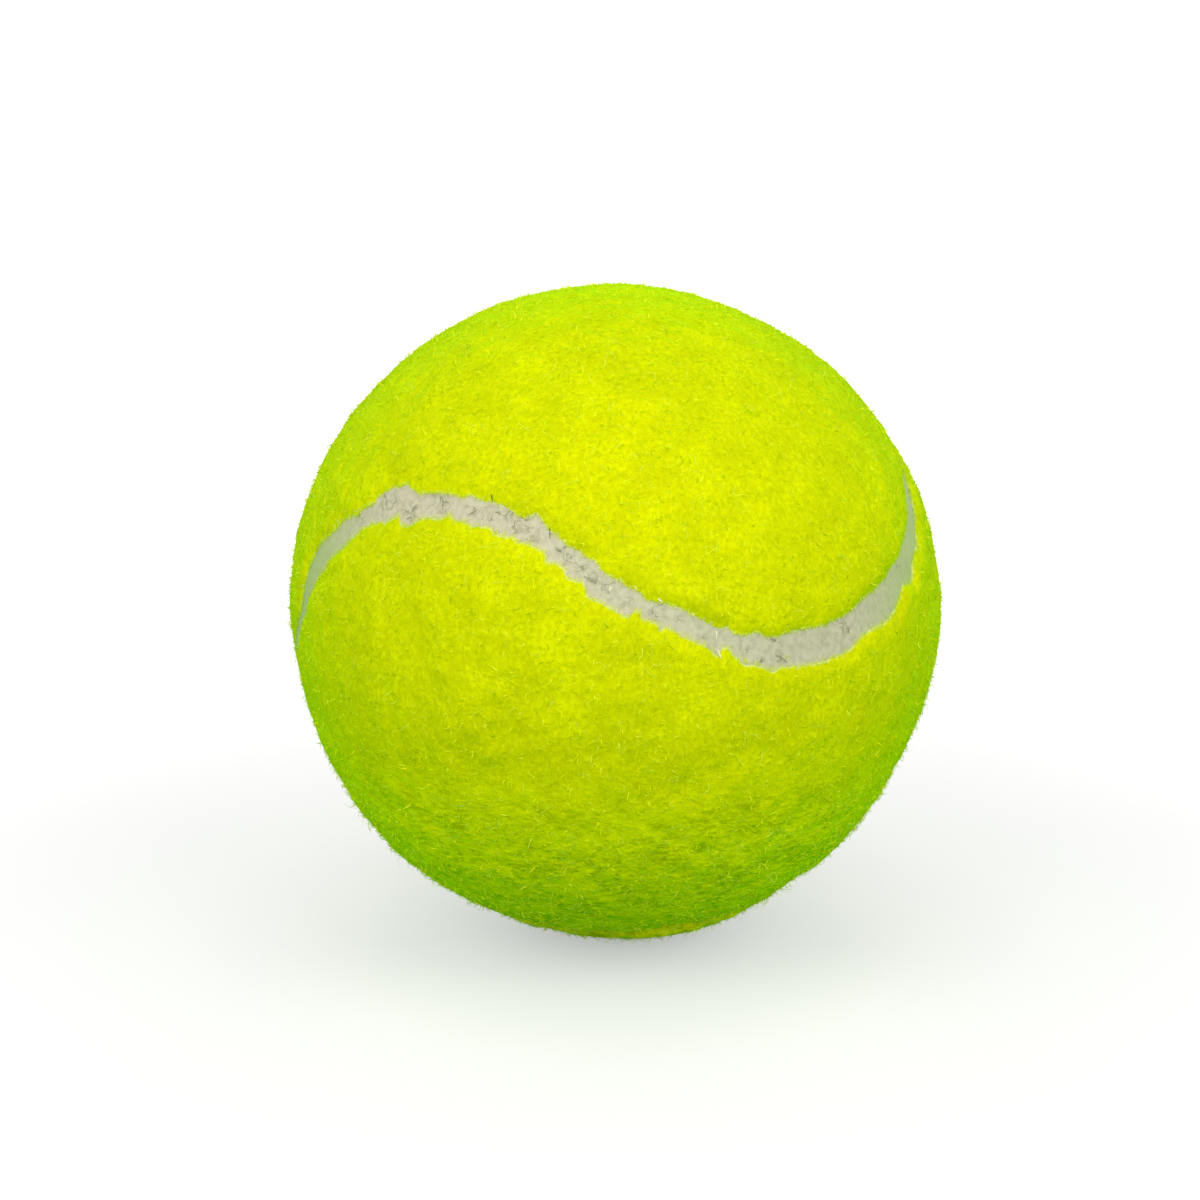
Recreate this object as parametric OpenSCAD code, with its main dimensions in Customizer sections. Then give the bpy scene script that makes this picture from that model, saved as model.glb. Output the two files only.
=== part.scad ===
// Tennis ball: a rubber core in two cemented halves, covered by two interlocking
// panels of felt cloth, with rubber filling the seam between them.
// The origin is the centre of the ball and +Z is up as it lies.
// The core halves meet on the plane Z = 0, and the cover is turned to show its seam.

/* [Core] */
// Outside diameter of the moulded rubber core
core_d = 60; // [56:0.5:63]
// Thickness of the core's wall
core_wall = 3.3; // [2.6:0.1:4.5]
// Thickness of the cement between the two halves
joint_cement_t = 0.3; // [0.2:0.05:0.6]
// How far the squeezed bead of cement stands into the hollow
joint_bead_h = 0.8; // [0.5:0.1:1.6]

/* [Cover] */
// Thickness of the rubber solution that glues the cloth down
cover_cement_t = 0.15; // [0.1:0.05:0.4]
// Thickness of the cloth's woven cotton backing
backing_t = 0.6; // [0.4:0.05:1.2]
// Height of the raised pile over its backing
pile_h = 2.25; // [1.8:0.05:3]
// Radius of the pile's rolled edge beside the seam
pile_roll_r = 0.5; // [0.3:0.1:1.4]

/* [Seam] */
// Width of the seam rubber between the two panels
seam_w = 2.8; // [2:0.1:4]
// Height of the seam rubber over the glued core
seam_h = 2.3; // [1:0.05:2.4]
// Angle by which the end lobes of each panel lean past the middle of the ball
lobe_lean = 13; // [10:0.5:26]

/* [Lie] */
// Turn of the cover about X, in degrees
lie_angle_x = -53.3; // [-90:0.1:90]
// Turn of the cover about Y, in degrees
lie_angle_y = 63.2; // [-90:0.1:90]
// Turn of the cover about Z, in degrees
lie_angle_z = 108.8; // [-180:0.1:180]

/* [Hidden] */
$fn = 128;

rubber_colour = [0.16, 0.16, 0.17];
cement_colour = [0.62, 0.55, 0.42];
backing_colour = [0.86, 0.86, 0.78];
pile_colour = [0.78, 0.88, 0.06];
seam_colour = [0.8, 0.8, 0.73];

// Radii of the layers, from the hollow outwards
core_r = core_d / 2;
hollow_r = core_r - core_wall;
glued_r = core_r + cover_cement_t;
backing_r = glued_r + backing_t;
ball_r = backing_r + pile_h;
seam_r = glued_r + seam_h;

// Reach of a cutting solid that has to clear the whole ball
reach = 2 * ball_r;

// The seam is four circular arcs. Each runs round the end lobe of a panel, at the
// angle seam_angle from the lobe's axis, and meets the next arc in a smooth S.
seam_angle = acos(-pow(sin(lobe_lean), 2)) / 2;
// Angle from a lobe's axis to the panel's own edge, or to the other panel's edge
half_seam_angle = asin(seam_w / 2 / seam_r);
own_edge = seam_angle - half_seam_angle;
other_edge = seam_angle + half_seam_angle;
// Sweep of one arc about its lobe's axis, on the side away from the panel's waist
lobe_sweep = 360 - 2 * atan(1 / sin(lobe_lean));
// Small overlap of a lobe with the waist, and the step that keeps their edges apart
lobe_overlap_angle = 0.5;
lobe_step_angle = 0.05;

function polar(r, angle) = [r * sin(angle), r * cos(angle)];

module shell(inner_r, outer_r) {
    difference() {
        sphere(outer_r);
        sphere(inner_r);
    }
}

// Upper half of what it is given, less half of the cemented joint
module half_of() {
    intersection() {
        children();
        translate([-reach, -reach, joint_cement_t / 2])
            cube([2 * reach, 2 * reach, reach]);
    }
}

module core_half() {
    half_of() shell(hollow_r, core_r);
}

module core_half_upper() {
    color(rubber_colour) core_half();
}

module core_half_lower() {
    color(rubber_colour) mirror([0, 0, 1]) core_half();
}

// Flat ring of cement between the halves, with the bead that it squeezes inwards
module core_joint_cement() {
    color(cement_colour) {
        intersection() {
            sphere(core_r);
            rotate_extrude()
                translate([hollow_r - joint_bead_h / 2, -joint_cement_t / 2])
                    square([core_wall + joint_bead_h, joint_cement_t]);
        }
        intersection() {
            sphere(hollow_r);
            rotate_extrude()
                translate([hollow_r, 0])
                    circle(joint_bead_h);
        }
    }
}

module cover_cement() {
    color(cement_colour) shell(core_r, glued_r);
}

// Half outline of a cone about a lobe's axis, with its edge at the given angle
module cone_outline(edge) {
    polygon([
        [0, hollow_r / 2 * cos(edge)],
        polar(hollow_r / 2, edge),
        polar(reach, edge),
        [0, reach]
    ]);
}

// The same, with its edge turned over in an arc where it meets the ball's surface:
// towards the lobe's axis where side is 1, and away from it where side is -1
module rolled_outline(edge, side) {
    roll_centre_r = ball_r - pile_roll_r;
    roll_centre_angle = edge - side * asin(pile_roll_r / roll_centre_r);
    roll_foot_r = sqrt(pow(roll_centre_r, 2) - pow(pile_roll_r, 2));
    module blank() {
        polygon([
            [0, hollow_r / 2 * cos(edge)],
            polar(hollow_r / 2, edge),
            polar(roll_foot_r, edge),
            polar(roll_centre_r, roll_centre_angle),
            polar(reach, roll_centre_angle),
            [0, reach]
        ]);
    }
    module roll() translate(polar(roll_centre_r, roll_centre_angle)) circle(pile_roll_r);
    if (side > 0) {
        blank();
        roll();
    } else {
        difference() {
            blank();
            roll();
        }
    }
}

module edge_outline(edge, side, rolled) {
    if (rolled) rolled_outline(edge, side);
    else cone_outline(edge);
}

// Wedge under the zigzag of planes that parts the two panels' waists and lobes
module lower_wedge() {
    side_drop = reach * sin(lobe_lean);
    rotate([90 + lobe_lean, 0, 0])
        linear_extrude(2 * reach, center = true)
            polygon([[0, 0], [reach, -side_drop], [reach, -2 * reach],
                [-reach, -2 * reach], [-reach, -side_drop]]);
}

// Places a solid of revolution about the two lobes of the panel, or of the other one
module on_own_lobes() {
    for (turn = [0, 180]) rotate([0, 90 + lobe_lean, turn]) children();
}

module on_other_lobes() {
    for (turn = [90, 270]) rotate([0, 90 - lobe_lean, turn]) children();
}

// Solid from the hollow outwards that a panel's outline fills: its waist lies over +Z
// and its end lobes towards +X and -X
module footprint(rolled = false) {
    difference() {
        cube(2 * reach, center = true);
        for (turn = [0, 180]) rotate([0, 0, turn]) lower_wedge();
        on_other_lobes()
            rotate_extrude() edge_outline(other_edge + lobe_step_angle, -1, rolled);
    }
    on_own_lobes()
        rotate([0, 0, -lobe_sweep / 2 - lobe_overlap_angle])
            rotate_extrude(angle = lobe_sweep + 2 * lobe_overlap_angle)
                edge_outline(own_edge, 1, rolled);
}

// The second panel is the first one turned over, with its waist on the far side
module second_panel() {
    rotate([180, 0, 90]) children();
}

module lie() {
    rotate([lie_angle_x, lie_angle_y, lie_angle_z]) children();
}

module backing() {
    intersection() {
        shell(glued_r, backing_r);
        footprint();
    }
}

module pile() {
    intersection() {
        shell(backing_r, ball_r);
        footprint(rolled = true);
    }
}

module panel_a_backing() {
    color(backing_colour) lie() backing();
}

module panel_b_backing() {
    color(backing_colour) lie() second_panel() backing();
}

module panel_a_pile() {
    color(pile_colour) lie() pile();
}

module panel_b_pile() {
    color(pile_colour) lie() second_panel() pile();
}

// Rubber between the two panels, from the glued core to just under the rolled edges
module seam_rubber() {
    color(seam_colour) lie() difference() {
        shell(glued_r, seam_r);
        footprint();
        second_panel() footprint();
    }
}

core_half_upper();
core_half_lower();
core_joint_cement();
cover_cement();
panel_a_backing();
panel_b_backing();
panel_a_pile();
panel_b_pile();
seam_rubber();
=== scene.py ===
import itertools
import math

import bpy
import numpy as np
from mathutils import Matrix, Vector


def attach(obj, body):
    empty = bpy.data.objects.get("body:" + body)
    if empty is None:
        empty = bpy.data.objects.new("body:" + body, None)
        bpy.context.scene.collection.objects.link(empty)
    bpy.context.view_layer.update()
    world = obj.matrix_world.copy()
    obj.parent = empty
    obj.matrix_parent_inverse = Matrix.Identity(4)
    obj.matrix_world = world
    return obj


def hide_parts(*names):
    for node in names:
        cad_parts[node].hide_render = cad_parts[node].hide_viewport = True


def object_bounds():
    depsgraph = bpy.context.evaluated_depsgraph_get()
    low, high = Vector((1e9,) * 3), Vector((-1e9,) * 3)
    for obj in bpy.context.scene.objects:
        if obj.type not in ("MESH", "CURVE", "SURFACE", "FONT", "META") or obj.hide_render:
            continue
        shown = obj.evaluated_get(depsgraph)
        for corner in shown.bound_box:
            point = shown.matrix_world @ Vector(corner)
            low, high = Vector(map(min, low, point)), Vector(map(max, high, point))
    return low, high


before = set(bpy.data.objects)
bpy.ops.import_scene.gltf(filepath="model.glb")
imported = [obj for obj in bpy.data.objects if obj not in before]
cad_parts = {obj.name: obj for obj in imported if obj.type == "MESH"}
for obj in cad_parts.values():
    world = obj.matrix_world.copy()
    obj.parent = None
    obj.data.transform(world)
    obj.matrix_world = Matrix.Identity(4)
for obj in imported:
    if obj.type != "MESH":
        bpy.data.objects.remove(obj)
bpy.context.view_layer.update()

# The scene is in metres. The lengths below are in millimetres, where they don't say otherwise.
MM = 0.001

# How the cover lies on the core: the turns about X, Y and Z, and the lean of the panels' end lobes.
# All are the values that the solids have.
LIE_DEG = (-53.3, 63.2, 108.8)
LOBE_LEAN = math.radians(13)

# The photo's view. The ball's centre and radius are in pixels of its frame.
FRAME_PX = 1200
BALL_CENTRE_PX = (614.25, 609.15)
BALL_RADIUS_PX = 325.5
CAMERA_ELEVATION = math.radians(15)
CAMERA_DISTANCE_RADII = 13.87
SENSOR_MM = 36

# The panels' cut edges, in points listed along the seam in the photo, from left to right
EDGE_PX = {
    "a": (
        (301, 612), (303, 597), (306, 582), (309, 570), (315, 554), (322, 543), (335, 531),
        (345, 520), (359, 515), (363, 509), (374, 504), (377, 498), (385, 492), (394, 488), (401, 487),
        (408, 484), (411, 489), (420, 494), (437, 493), (451, 494), (461, 498), (470, 495), (477, 497),
        (484, 501), (501, 505), (512, 511), (516, 516), (524, 518), (536, 514), (543, 521), (551, 532),
        (558, 536), (563, 542), (581, 553), (597, 563), (601, 570), (618, 581), (641, 593), (647, 600),
        (664, 604), (679, 608), (693, 615), (704, 621), (715, 627), (727, 627), (733, 633), (742, 636),
        (754, 633), (769, 637), (791, 632), (814, 627), (825, 626), (831, 621), (846, 614), (853, 608),
        (860, 600), (875, 589), (884, 579), (889, 569), (897, 559), (902, 543), (905, 530), (906, 509),
        (904, 492),
    ),
    "b": (
        (308, 611), (310, 597), (315, 588), (320, 577), (326, 569), (333, 556), (341, 551),
        (351, 540), (359, 533), (365, 528), (373, 525), (386, 523), (390, 519), (399, 517), (401, 524),
        (406, 527), (415, 524), (420, 519), (429, 518), (439, 520), (450, 517), (455, 521), (465, 523),
        (470, 526), (490, 527), (494, 533), (503, 536), (513, 538), (518, 542), (528, 544), (538, 549),
        (545, 553), (547, 562), (559, 564), (564, 569), (567, 577), (572, 581), (583, 582), (586, 593),
        (592, 600), (603, 603), (623, 616), (629, 618), (633, 612), (639, 612), (642, 619), (657, 624),
        (660, 630), (667, 627), (678, 634), (681, 637), (693, 640), (704, 645), (714, 653), (718, 657),
        (722, 648), (728, 647), (733, 656), (742, 663), (756, 665), (768, 670), (775, 671), (782, 667),
        (798, 666), (826, 661), (833, 657), (843, 655), (850, 649), (856, 643), (862, 636), (869, 630),
        (880, 625), (888, 619), (894, 610), (899, 595), (902, 585), (910, 583), (912, 575), (911, 564),
        (914, 554), (916, 547), (915, 526), (913, 509), (909, 492),
    ),
}
# The middle of the stretch of seam that the photo shows, and how soon past both ends of that
# stretch the seam has its even width again, as a share of the whole seam
SEAM_MIDDLE_PX = (590, 575)
EDGE_FADE_TURNS = 0.02

# The felt's cut edge: half the gap between the panels, and how wide and how high its roll starts
GAP_HALF_W = 1.4
EDGE_ROLL_W = 1.7
EDGE_STEP_H = 0.02

# The felt's mesh: steps along an edge of the icosahedron, and the bands by the cut edge that are
# each cut once more
SPHERE_STEPS = 78
FINE_BANDS_W = (1.9, 0.6)

# Noise on the felt and on its cut edge, in layers of a size and a height
LUMPS = ((9.0, 0.12), (3.0, 0.12), (1.3, 0.12), (0.5, 0.05))
LUMPS_FADE_W = 1.2
LUMPS_SEED = 5
EDGE_WAVES = ((2.0, 0.06), (0.8, 0.08), (0.4, 0.10), (0.25, 0.07))
UNSEEN_EDGE_WAVES = ((5.0, 0.35), (2.0, 0.45), (1.0, 0.45))
EDGE_SEEDS = {"a": 40, "b": 60}

# How the felt's outline swells and sinks in the photo, where most of it is round: degrees round the
# outline from the right through the top, half width in degrees, and height in millimetres
SWELLINGS = ((65, 14, -0.35), (203, 18, -0.60), (282, 19, 0.48), (334, 15, -0.38))

# The seam rubber: how far it reaches in under the felt, how deep its middle is sunk and how
# squarely, the foot between the backings, and how far it stays off what lies below it
SEAM_TUCK = 0.8
SEAM_SINK = 0.06
SEAM_SINK_POWER = 2.2
SEAM_FOOT_HALF_W = 1.3
SEAM_CLEARANCE = 0.02
SEAM_WAVES = ((3.0, 0.05), (0.9, 0.03), (0.4, 0.02))
SEAM_WAVES_SEED = 90
SEAM_STEPS_PER_ARC = 320
SEAM_STEPS_ACROSS = 19

# Painted green bounce light and shade from the felt on the rubber, darker and greener towards the sides:
# it sets in from the middle out, and from below upwards
SEAM_PAINTED_BOUNCE_OUTWARDS = (22.0, 33.0)
SEAM_PAINTED_BOUNCE_UPWARDS = (-9.0, -3.0)

# Lint on the rubber: photo x and y of each tangle, how far it spreads in pixels, and its hairs
LINT_PX = (
    (386, 499, 4, 6), (385, 508, 3, 4), (396, 499, 4, 4), (411, 513, 9, 18), (443, 500, 10, 20),
    (444, 511, 3, 5), (478, 513, 9, 11), (490, 515, 9, 11), (509, 514, 6, 12), (516, 529, 6, 12),
    (523, 521, 5, 10), (530, 531, 8, 8), (534, 540, 5, 8), (563, 550, 5, 9), (569, 560, 5, 9),
    (582, 567, 2, 9), (586, 574, 3, 3), (594, 581, 6, 11), (604, 585, 5, 9), (626, 601, 6, 6),
    (654, 616, 4, 9), (662, 604, 2, 4), (679, 624, 4, 3), (703, 634, 5, 3), (745, 648, 5, 3),
    (773, 639, 3, 8), (779, 657, 3, 8), (782, 660, 3, 6), (761, 662, 3, 6), (843, 624, 5, 10),
    (849, 630, 1, 5), (823, 640, 6, 5), (898, 569, 3, 5), (905, 565, 2, 3), (360, 515, 5, 8),
    (330, 530, 3, 4),
)
# Tufts of felt on the rubber, given like the lint
TUFTS_PX = ((746, 660, 3, 14), (786, 657, 3, 9))
PALE_TUFTS_PX = ((341, 524, 4, 12), (349, 516, 4, 12), (357, 513, 3, 6), (304, 585, 2, 4))

# Tangles of lint along the rest of the seam: their number, the most hairs in one, and its spread
STRAY_TANGLES = 70
STRAY_HAIRS = 8
STRAY_SPREAD = 0.45
LINT_SEED = 21

# Single hairs: photo x and y of both ends
DARK_HAIRS_PX = ((493, 496, 493, 503), (550, 528, 550, 540))
PALE_HAIRS_PX = (
    (658, 599, 663, 603), (716, 631, 716, 640), (718, 650, 720, 658), (611, 587, 609, 592),
)
DARK_HAIR_HALF_W = 0.05
PALE_HAIR_HALF_W = 0.095

# Kinds of fibre. Length, drop and the share of half_width are drawn evenly between two values;
# rise is drawn about a middle with a spread, and bend about nought with a spread. Rise is how
# steeply a fibre starts, drop how far it arches over and bend how far it curls, in radians. The
# matted and the curled fibres have FIBRE_DROP and FIBRE_SHARES in common.
MATTED = {"length": (0.5, 1.3), "rise": (0.14, 0.12), "bend": 1.0, "half_width": 0.040}
CURLED = {"length": (0.4, 1.0), "rise": (0.65, 0.30), "bend": 2.5, "half_width": 0.047}
FIBRE_DROP = (0.3, 1.0)
FIBRE_SHARES = (0.7, 1.3)
FRAYED = {"rise": (0.1, 0.2), "bend": 1.2, "drop": (0.1, 0.8), "half_width": 0.025,
          "shares": (0.6, 1.4)}
FRAYED_LENGTHS = {"a": (0.20, 0.60), "b": (0.30, 0.90)}
LOOSE = {"length": (0.8, 1.9), "rise": (0.6, 0.25), "bend": 3.5, "drop": (0.6, 1.5),
         "half_width": 0.034, "shares": (0.7, 1.3)}
LINT = {"length": (0.4, 1.3), "rise": (0.05, 0.05), "bend": 3.0, "drop": (0.0, 0.1),
        "half_width": 0.014, "shares": (0.7, 1.5)}
TUFT = {**LINT, "length": (0.2, 0.6), "half_width": 0.025}

# A fibre's cross-section in half widths, flat on the outside, and how far it thins before its tip
FIBRE_SECTION = ((1.0, -0.3), (0.0, 0.8), (-1.0, -0.3))
FIBRE_END_TAPER = 0.6

# The share of a fibre's length at which it points the way that it is laid
LAID_AT = 0.2

# The surface fibres of each panel, and the places tried for each. Near the cut edge they are
# shorter, and most turn inwards.
FIBRES = 45000
FIBRE_TRIES = 3
FIBRE_PIECES = 4
FIBRE_SEED = 11
FIBRE_INSET = 0.15
FIBRE_ROOT_DEPTH = 0.04
FIBRE_ROLL_SPREAD = 0.4
CURLED_SHARE = 0.3
EDGE_LENGTH_SHARE = 0.45
FULL_LENGTH_W = 1.6
TURNED_IN_W = 1.4
TURNED_IN_SHARE = 0.8

# The fringe at each cut edge: how far in its fibres start, and how they fan out, in radians
FRINGE_FIBRES = 6400
FRINGE_SEED = 31
FRINGE_DEPTH = (0.0, 0.3)
FRINGE_ROOT_DEPTH = 0.03
FRINGE_SPREAD = 0.7

# The loose curls of each panel, most of them low down, and the places tried for each
LOOSE_CURLS = 1800
LOOSE_TRIES = 8
LOOSE_SEED = 41
LOOSE_INSET = 1.0
LOOSE_ROOT_DEPTH = 0.05
LOOSE_BELOW = -14.0
LOOSE_SHARE_ABOVE = 0.2

# The nap mostly runs up the ball, and round it below these heights, with a spread in radians. Below them
# the matted felt is also painted lighter, with painted shade and highlight between its strands.
NAP_TURNS_AND_PAINTED_LIGHT_BETWEEN = (-6.0, -16.0)
NAP_SPREAD_UP = 1.3
NAP_SPREAD_ROUND = 0.5

# Passes that move the felt's points on to the cut edge, and that measure the seam's reach to it
EDGE_MOVES = 3
EDGE_MEASURES = 4

# Keeps a vector's length from being nought where it is divided by, and noise from places below 0
TINY = 1e-9
NOISE_SHIFT = 1000

# The lamps, at one distance in metres: azimuth and elevation in degrees, size in metres, and level
LAMP_DISTANCE = 0.9
SOFTBOXES = {
    "key_left": (-32, 34, 0.5, 0.13),
    "key_right": (36, 32, 0.5, 0.13),
    "side_left": (-72, 23, 0.5, 0.18),
    "side_right": (72, 22, 0.5, 0.19),
    "front": (0, 12, 0.5, 0.34),
    "top": (0, 84, 0.7, 0.11),
    "back_left": (-150, 20, 0.5, 0.16),
    "back_right": (150, 20, 0.5, 0.16),
}
AMBIENT_LEVEL = 0.40

# The floor: its size in metres, and the glow that the camera sees on it, which grows to 1 from the
# lowest level between two distances from the ball, in metres
FLOOR_SIZE = 40
FLOOR_GLOW_BETWEEN = (0.05, 0.22)
FLOOR_GLOW_LOWEST = 0.42


def vertex_array(mesh):
    flat = np.empty(len(mesh.vertices) * 3)
    mesh.vertices.foreach_get("co", flat)
    return flat.reshape(-1, 3)


def node_radii(node):
    """Least and greatest distance of a CAD node's surface from the ball's centre, in millimetres."""
    r = np.linalg.norm(vertex_array(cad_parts[node].data), axis=1) / MM
    return float(r.min()), float(r.max())


BACKING_R, BALL_R = node_radii("panel_a_pile")
GLUED_R, SEAM_R = node_radii("seam_rubber")


def unit(v):
    return v / np.linalg.norm(v, axis=-1, keepdims=True)


def turn(axis, angle):
    c, s = math.cos(angle), math.sin(angle)
    i, j = [(1, 2), (2, 0), (0, 1)][axis]
    m = np.eye(3)
    m[i, i] = m[j, j] = c
    m[j, i], m[i, j] = s, -s
    return m


LIE_TURNS = [turn(axis, math.radians(degrees)) for axis, degrees in enumerate(LIE_DEG)]
LIE = LIE_TURNS[2] @ LIE_TURNS[1] @ LIE_TURNS[0]

# The seam: four arcs at SEAM_ANGLE from the axes of the panels' end lobes, each sweeping SWEEP
SEAM_ANGLE = math.acos(-math.sin(LOBE_LEAN) ** 2) / 2
SWEEP = 2 * math.pi - 2 * math.atan(1 / math.sin(LOBE_LEAN))

# The lobes in their order round the seam: the azimuth of each one's axis, and 1 where it leans up
LOBES = ((0, -1), (math.pi / 2, 1), (math.pi, -1), (-math.pi / 2, 1))


def lobe_frame(azimuth, up):
    """Axis of a lobe, the way along its seam at the tip, and the way to the tip."""
    lean = up * LOBE_LEAN
    axis = (math.cos(lean) * math.cos(azimuth), math.cos(lean) * math.sin(azimuth), math.sin(lean))
    side = (-math.sin(azimuth), math.cos(azimuth), 0)
    return np.array([axis, side, np.cross(axis, side) * up])


LOBE_FRAMES = np.array([lobe_frame(*lobe) for lobe in LOBES])


def seam_place(points):
    """Angle from the seam's middle line, positive on panel a, the way in which it grows fastest,
    and how far round the seam a point lies, as a share of the whole."""
    q = points @ LIE
    on_b = q[:, 2] > math.tan(LOBE_LEAN) * (np.abs(q[:, 1]) - np.abs(q[:, 0]))
    lobe = np.where(on_b, np.where(q[:, 1] < 0, 3, 1), np.where(q[:, 0] < 0, 2, 0))
    axis, side, tip = LOBE_FRAMES[lobe].transpose(1, 0, 2)
    across = np.clip((q * axis).sum(1), -1, 1)
    sign = np.where(on_b, 1.0, -1.0)
    away = sign[:, None] * unit(q * across[:, None] - axis)
    swept = np.arctan2((q * side).sum(1), (q * tip).sum(1)) / SWEEP + 0.5
    return sign * (np.arccos(across) - SEAM_ANGLE), away @ LIE.T, (lobe + swept) / len(LOBES) % 1


def seam_line(steps_per_arc):
    """Directions along the seam's middle line, once round."""
    swept = ((np.arange(steps_per_arc) / steps_per_arc - 0.5) * SWEEP)[:, None]
    arcs = []
    for axis, side, tip in LOBE_FRAMES:
        round_it = np.cos(swept) * tip + np.sin(swept) * side
        arcs.append(math.cos(SEAM_ANGLE) * axis + math.sin(SEAM_ANGLE) * round_it)
    return np.concatenate(arcs) @ LIE.T


def lattice(cell, seed):
    """A repeatable value from -1 to 1 for each whole-numbered place."""
    h = cell[:, 0] * 374761393 + cell[:, 1] * 668265263 + cell[:, 2] * 2147483647 + seed * 974711
    h = (h ^ (h >> 13)) * 1274126177 & 0xFFFFFFFF
    h = (h ^ (h >> 16)) * 2246822519 & 0xFFFFFFFF
    return (h ^ (h >> 15)) / 0xFFFFFFFF * 2 - 1


def noise(points, size, seed):
    """Smooth noise from -1 to 1 over points in millimetres, with bumps of about the given size."""
    p = points / size + NOISE_SHIFT
    base = np.floor(p).astype(np.int64)
    t = p - base
    t = t * t * (3 - 2 * t)
    total = np.zeros(len(p))
    for corner in np.ndindex(2, 2, 2):
        c = np.array(corner)
        weight = np.where(c, t, 1 - t).prod(1)
        total += weight * lattice(base + c, seed)
    return total


def layered(points, layers, seed):
    return sum(amount * noise(points, size, seed + k) for k, (size, amount) in enumerate(layers))


# The camera, which the places read from the photo need too
BACK = np.array([0, -math.cos(CAMERA_ELEVATION), math.sin(CAMERA_ELEVATION)])
UP = np.array([0, math.sin(CAMERA_ELEVATION), math.cos(CAMERA_ELEVATION)])
RIGHT = np.array([1.0, 0, 0])
CAMERA_DISTANCE = CAMERA_DISTANCE_RADII * BALL_R
FOCAL_PX = BALL_RADIUS_PX * math.sqrt(CAMERA_DISTANCE_RADII**2 - 1)


def place_of_pixel(x, y, radius):
    """Direction from the ball's centre to what a pixel of the photo shows, at a radius in millimetres."""
    ray = unit(RIGHT * (x - BALL_CENTRE_PX[0]) - UP * (y - BALL_CENTRE_PX[1]) - BACK * FOCAL_PX)
    eye = BACK * CAMERA_DISTANCE
    along = -ray @ eye
    nearest = CAMERA_DISTANCE**2 - along**2
    return unit(eye + ray * (along - math.sqrt(max(radius**2 - nearest, 0))))


def place_along_photo(round_it):
    """How far round the seam, counted so that the stretch in the photo lies about a half."""
    return (round_it - SEAM_MIDDLE + 0.5) % 1


def known_edge(panel, sign):
    """A panel's cut edge in the photo: places round the seam, and distances from its middle line."""
    places = np.array([place_of_pixel(x, y, SEAM_R) for x, y in EDGE_PX[panel]])
    angle, _, round_it = seam_place(places)
    along = place_along_photo(round_it)
    order = np.argsort(along)
    along, gap = along[order], sign * angle[order] * BALL_R
    along = np.concatenate([[along[0] - EDGE_FADE_TURNS], along, [along[-1] + EDGE_FADE_TURNS]])
    return along, np.concatenate([[GAP_HALF_W], gap, [GAP_HALF_W]])


SEAM_MIDDLE = seam_place(place_of_pixel(*SEAM_MIDDLE_PX, SEAM_R)[None])[2][0]
EDGE_SIGNS = {"a": 1, "b": -1}
KNOWN_EDGES = {panel: known_edge(panel, sign) for panel, sign in EDGE_SIGNS.items()}


def half_gap(points, round_it, panel):
    """Distance from the seam's middle line to the panel's cut edge, in millimetres."""
    seed = EDGE_SEEDS[panel]
    along = place_along_photo(round_it)
    first, last = KNOWN_EDGES[panel][0][[0, -1]]
    unseen = np.clip(np.maximum(first - along, along - last) / EDGE_FADE_TURNS, 0, 1)
    waves = layered(points * BALL_R, EDGE_WAVES, seed)
    waves += unseen * layered(points * BALL_R, UNSEEN_EDGE_WAVES, seed + len(EDGE_WAVES))
    return np.interp(along, *KNOWN_EDGES[panel]) + waves


def inside_panel(points, panel):
    """How far in from the panel's cut edge a point lies, in millimetres, and the way further in."""
    angle, way, round_it = seam_place(points)
    sign = EDGE_SIGNS[panel]
    inside = sign * angle * BALL_R - half_gap(points, round_it, panel)
    return inside, sign * way


def felt_radius(points, inside):
    """Radius of the felt's surface: lumpy, and rolling down to the seam rubber at the cut edge."""
    roll = np.clip(inside / EDGE_ROLL_W, 0, 1)
    edge_r = SEAM_R + EDGE_STEP_H
    lumps = layered(points * BALL_R, LUMPS, LUMPS_SEED)
    for angle, half_width, height in SWELLINGS:
        angle = math.radians(angle)
        middle = RIGHT * math.cos(angle) + UP * math.sin(angle)
        off = np.degrees(np.arccos(np.clip(points @ middle, -1, 1)))
        lumps += height * np.exp(-((off / half_width) ** 2))
    rolled = edge_r + (BALL_R - edge_r) * (1 - (1 - roll) ** 2)
    return rolled + lumps * np.clip(inside / LUMPS_FADE_W, 0, 1)


def geodesic_sphere(steps):
    """Even triangles over a unit sphere: an icosahedron's faces cut into steps and pushed out."""
    golden = (1 + math.sqrt(5)) / 2
    corners = []
    for a in (-1, 1):
        for b in (-golden, golden):
            corners += [(0, a, b), (a, b, 0), (b, 0, a)]
    corners = np.array(corners, float)
    points, triangles = [], []
    for a, b, c in itertools.combinations(corners, 3):
        if not np.allclose(np.linalg.norm([b - a, c - b, a - c], axis=1), 2):
            continue
        if np.dot(np.cross(b - a, c - a), a) < 0:
            b, c = c, b
        row_start = []
        for u in range(steps + 1):
            row_start.append(len(points))
            for v in range(steps + 1 - u):
                points.append(a + (b - a) * u / steps + (c - a) * v / steps)
        for u in range(steps):
            for v in range(steps - u):
                p, q = row_start[u] + v, row_start[u + 1] + v
                triangles.append((p, q, p + 1))
                if v < steps - u - 1:
                    triangles.append((q, q + 1, p + 1))
    points = unit(np.array(points))
    _, first, same = np.unique(np.round(points, 7), axis=0, return_index=True, return_inverse=True)
    return points[first], same.reshape(-1)[np.array(triangles)]


def edge_pairs(triangles):
    return np.concatenate([triangles[:, [0, 1]], triangles[:, [1, 2]], triangles[:, [2, 0]]])


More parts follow.
